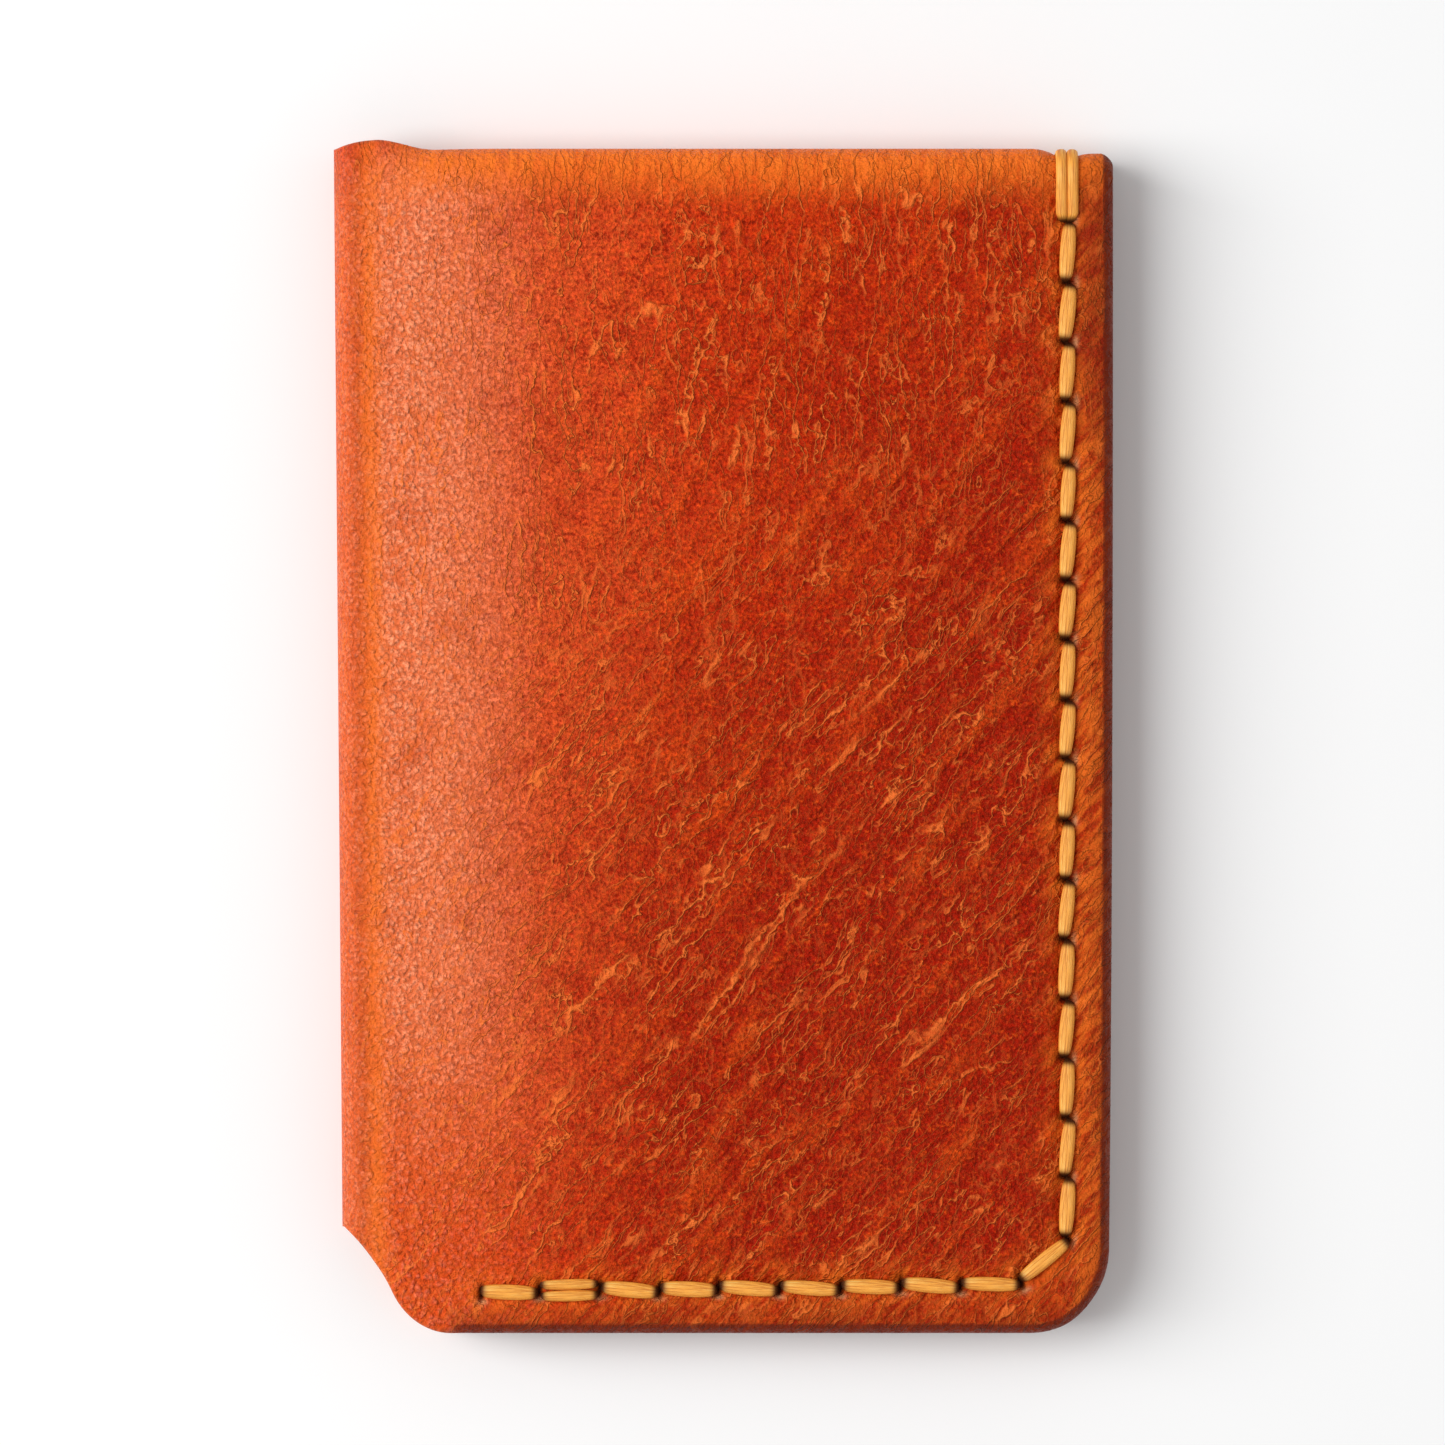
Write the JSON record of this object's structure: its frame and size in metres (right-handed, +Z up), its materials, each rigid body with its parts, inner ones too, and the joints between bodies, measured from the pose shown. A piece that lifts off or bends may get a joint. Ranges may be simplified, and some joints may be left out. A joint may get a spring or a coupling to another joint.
{
  "type": "folding leather card holder",
  "caption": "Book-fold leather card holder: two saddle-stitched leaves with turned-in card pockets, joined by a half-round spine that opens flat.",
  "frame": {"origin": "under the middle of the closed holder, on the surface that it lies on", "axes": "+X from the spine to the sewn outer edge, +Y from the foot to the turned-in top, +Z up through the closed leaves, with the back cover down"},
  "size_m": [0.0652, 0.0996, 0.0086],
  "materials": {
    "pull_up_leather": "waxed pull-up vegetable-tanned leather in burnt orange, fine pebble grain, satin, with burnished dark brown cut edges",
    "waxed_thread": "thick waxed golden-yellow thread, soft sheen"
  },
  "bodies": {
    "back_leaf": {"back_cover": "pull_up_leather", "back_pocket": "pull_up_leather", "back_top_fold": "pull_up_leather", "back_thread": "waxed_thread"},
    "spine_fold": {"spine": "pull_up_leather"},
    "front_leaf": {"front_cover": "pull_up_leather", "front_pocket": "pull_up_leather", "front_top_fold": "pull_up_leather", "front_thread": "waxed_thread"}
  },
  "joints": [
    {"name": "back_fold", "type": "hinge", "parent": "back_leaf", "child": "spine_fold", "pos_m": [-0.03168, 0, 0.00092], "axis": [0, -1, 0], "range_deg": [0, 90]},
    {"name": "front_fold", "type": "hinge", "parent": "spine_fold", "child": "front_leaf", "pos_m": [-0.03168, 0, 0.00768], "axis": [0, -1, 0], "range_deg": [0, 90]}
  ],
  "couplings": [
    {"joint": "front_fold", "follows": "back_fold", "ratio": 1}
  ]
}
